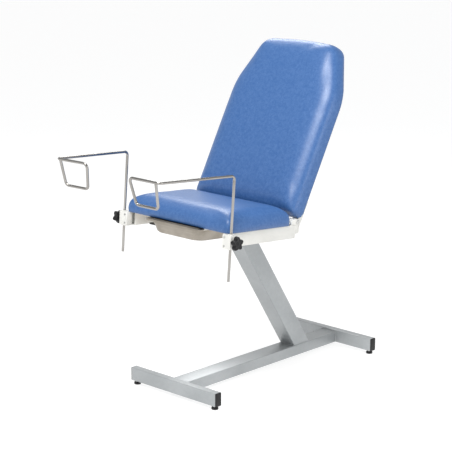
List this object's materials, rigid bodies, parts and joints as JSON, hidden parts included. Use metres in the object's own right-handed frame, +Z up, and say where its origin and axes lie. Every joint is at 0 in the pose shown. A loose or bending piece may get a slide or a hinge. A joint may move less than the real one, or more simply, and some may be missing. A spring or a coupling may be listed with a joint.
{
  "type": "gynecological chair",
  "caption": "Examination chair with a tilting padded backrest, padded seat, bent-rod leg supports and a pull-out tray on a leaning column over an H-shaped floor frame.",
  "frame": {"origin": "on the floor under the middle of the whole chair", "axes": "+Z up, -Y is the front where the leg supports reach out, +X is the sitter's left"},
  "size_m": [0.7244, 1.4706, 1.4785],
  "materials": {
    "blue_vinyl": "satin",
    "plywood": "matte",
    "chrome_rod": "polished",
    "black_plastic": "matte",
    "white_plastic": "satin",
    "stainless_sheet": "satin",
    "silver_grey_paint": "satin",
    "black_paint": "satin",
    "zinc_plated_steel": "satin",
    "white_paint": "satin"
  },
  "bodies": {
    "chair_frame": {"front_foot_tube": "silver_grey_paint", "rear_foot_tube": "silver_grey_paint", "floor_beam": "silver_grey_paint", "column": "silver_grey_paint", "front_foot_cap_left": "black_plastic", "front_foot_cap_right": "black_plastic", "rear_foot_cap_left": "black_plastic", "rear_foot_cap_right": "black_plastic", "levelling_nuts": "zinc_plated_steel", "head_plate": "silver_grey_paint", "head_bolts": "zinc_plated_steel", "front_cross_tube": "white_paint", "rear_cross_tube": "white_paint", "seat_rail_left": "white_paint", "seat_rail_right": "white_paint", "rail_plugs": "white_plastic", "seat_board": "plywood", "seat_cushion": "blue_vinyl", "hinge_bracket_left": "white_paint", "hinge_bracket_right": "white_paint", "hinge_pin_left": "zinc_plated_steel", "hinge_pin_right": "zinc_plated_steel", "gas_spring_rod": "zinc_plated_steel", "spring_anchor": "white_paint", "lever_pin": "zinc_plated_steel", "rod_clamp_left": "white_paint", "rod_clamp_right": "white_paint", "clamp_screws": "zinc_plated_steel", "tray_runner_left": "white_paint", "tray_runner_right": "white_paint", "runner_screws": "zinc_plated_steel"},
    "front_levelling_foot_left": {"front_levelling_foot_left": "black_plastic"},
    "front_levelling_foot_right": {"front_levelling_foot_right": "black_plastic"},
    "rear_levelling_foot_left": {"rear_levelling_foot_left": "black_plastic"},
    "rear_levelling_foot_right": {"rear_levelling_foot_right": "black_plastic"},
    "backrest": {"back_cushion": "blue_vinyl", "back_board": "plywood", "back_tube_left": "white_paint", "back_tube_right": "white_paint", "lower_back_cross_tube": "white_paint", "upper_back_cross_tube": "white_paint", "hinge_arm_left": "white_paint", "hinge_arm_right": "white_paint", "hinge_tube": "white_paint", "back_screws": "zinc_plated_steel", "spring_crank": "white_paint"},
    "gas_cylinder": {"gas_cylinder": "black_paint", "spring_fork": "zinc_plated_steel", "fork_pin": "zinc_plated_steel"},
    "release_lever": {"release_lever": "black_paint"},
    "clamp_bush_left": {"clamp_bush_left": "white_plastic"},
    "leg_support_left": {"leg_support_left": "chrome_rod"},
    "clamp_knob_left": {"clamp_knob_left": "black_plastic", "knob_stud_left": "zinc_plated_steel"},
    "clamp_bush_right": {"clamp_bush_right": "white_plastic"},
    "leg_support_right": {"leg_support_right": "chrome_rod"},
    "clamp_knob_right": {"clamp_knob_right": "black_plastic", "knob_stud_right": "zinc_plated_steel"},
    "instrument_tray": {"instrument_tray": "stainless_sheet"}
  },
  "joints": [
    {"name": "front_left_foot_turn", "type": "hinge", "parent": "chair_frame", "child": "front_levelling_foot_left", "pos_m": [0.238, -0.333, 0], "axis": [0, 0, 1], "range_deg": [-720, 720]},
    {"name": "front_right_foot_turn", "type": "hinge", "parent": "chair_frame", "child": "front_levelling_foot_right", "pos_m": [-0.238, -0.333, 0], "axis": [0, 0, 1], "range_deg": [-720, 720]},
    {"name": "rear_left_foot_turn", "type": "hinge", "parent": "chair_frame", "child": "rear_levelling_foot_left", "pos_m": [0.238, 0.717, 0], "axis": [0, 0, 1], "range_deg": [-720, 720]},
    {"name": "rear_right_foot_turn", "type": "hinge", "parent": "chair_frame", "child": "rear_levelling_foot_right", "pos_m": [-0.238, 0.717, 0], "axis": [0, 0, 1], "range_deg": [-720, 720]},
    {"name": "back_tilt", "type": "hinge", "parent": "chair_frame", "child": "backrest", "pos_m": [0, 0.11896, 0.74952], "axis": [1, 0, 0], "range_deg": [-65, 5]},
    {"name": "gas_spring_stroke", "type": "slide", "parent": "chair_frame", "child": "gas_cylinder", "axis": [0, 0.9965, -0.0837], "range_m": [-0.064, 0.006]},
    {"name": "release_press", "type": "hinge", "parent": "chair_frame", "child": "release_lever", "pos_m": [-0.215, -0.17044, 0.7106], "axis": [-1, 0, 0], "range_deg": [0, 9], "stiffness_Nm_per_rad": 1.5, "springref_deg": -11.46},
    {"name": "left_leg_swivel", "type": "hinge", "parent": "chair_frame", "child": "clamp_bush_left", "pos_m": [0.3193, -0.31944, 0.775], "axis": [0, 0.0837, 0.9965], "range_deg": [-10, 90]},
    {"name": "left_leg_height", "type": "slide", "parent": "clamp_bush_left", "child": "leg_support_left", "axis": [0, 0.0837, 0.9965], "range_m": [-0.08, 0.12]},
    {"name": "left_knob_turn", "type": "hinge", "parent": "chair_frame", "child": "clamp_knob_left", "pos_m": [0.3193, -0.32212, 0.74311], "axis": [1, 0, 0], "range_deg": [0, 720]},
    {"name": "right_leg_swivel", "type": "hinge", "parent": "chair_frame", "child": "clamp_bush_right", "pos_m": [-0.3193, -0.31944, 0.775], "axis": [0, 0.0837, 0.9965], "range_deg": [-94, 5]},
    {"name": "right_leg_height", "type": "slide", "parent": "clamp_bush_right", "child": "leg_support_right", "axis": [0, 0.0837, 0.9965], "range_m": [-0.096, 0.104]},
    {"name": "right_knob_turn", "type": "hinge", "parent": "chair_frame", "child": "clamp_knob_right", "pos_m": [-0.3193, -0.32212, 0.74311], "axis": [-1, 0, 0], "range_deg": [0, 720]},
    {"name": "tray_slide", "type": "slide", "parent": "chair_frame", "child": "instrument_tray", "axis": [0, -0.9965, 0.0837], "range_m": [0, 0.22]}
  ],
  "couplings": [
    {"joint": "gas_spring_stroke", "follows": "back_tilt", "m_per_rad": 0.055}
  ]
}
